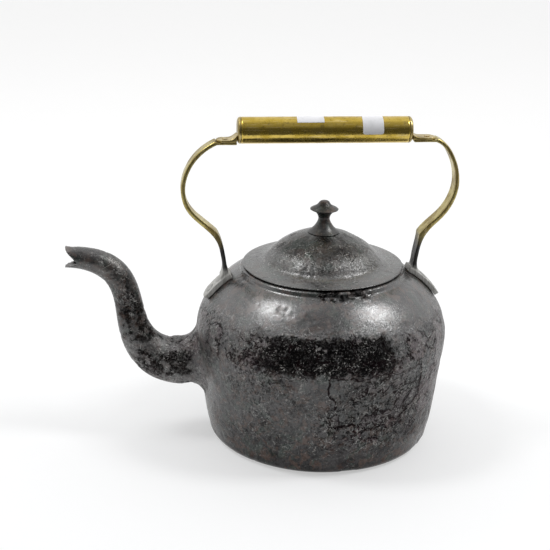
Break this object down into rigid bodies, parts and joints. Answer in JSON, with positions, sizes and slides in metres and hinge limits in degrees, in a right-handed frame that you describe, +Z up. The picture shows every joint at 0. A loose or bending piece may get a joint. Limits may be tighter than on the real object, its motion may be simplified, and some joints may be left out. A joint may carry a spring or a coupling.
{
  "type": "cast iron kettle with brass bow handle",
  "caption": "Cast iron stove kettle: flat-based pot, goose-neck spout with a notched beak, domed lift-off lid with a knob, and a fixed brass bow handle with a tubular grip.",
  "frame": {"origin": "centre of the flat underside of the pot, which is its mount base", "axes": "+Z up through the knob; the spout points along -X and the handle's bow lies in the XZ plane, and +Y is level, square to the bow"},
  "size_m": [0.3383, 0.2202, 0.286],
  "materials": {
    "pot_iron": "stove-blacked, pitted and flaking, semi-gloss",
    "spout_iron": "stove-blacked, pitted along the sides",
    "lid_iron": "stove-blacked, worn grey on the brim",
    "knob_iron": "smooth, stove-blacked",
    "inside_iron": "bare dark iron",
    "rivet_iron": "dressed flush and blacked",
    "arm_brass": "aged brass, blacked towards the feet",
    "lap_brass": "aged brass",
    "cap_brass": "aged polished brass",
    "grip_brass": "aged polished brass with scratches",
    "label_paper": "matt white, blank"
  },
  "bodies": {
    "kettle": {"pot_body": "pot_iron", "spout": "spout_iron", "handle_arm_front": "arm_brass", "handle_arm_rear": "arm_brass", "front_foot_rivets": "rivet_iron", "rear_foot_rivets": "rivet_iron", "front_foot_burrs": "inside_iron", "rear_foot_burrs": "inside_iron", "front_lap_rivet": "lap_brass", "rear_lap_rivet": "lap_brass", "grip_end_cap_front": "cap_brass", "grip_end_cap_rear": "cap_brass", "grip_core_bar": "lap_brass", "grip_tube": "grip_brass", "blank_lot_label": "label_paper", "blank_price_label": "label_paper"},
    "lid": {"lid": "lid_iron", "lid_knob": "knob_iron", "knob_washer": "inside_iron", "knob_screw": "inside_iron"}
  },
  "joints": [
    {"name": "lid_lift", "type": "slide", "parent": "kettle", "child": "lid", "axis": [0, 0, 1], "range_m": [0, 0.045]}
  ]
}
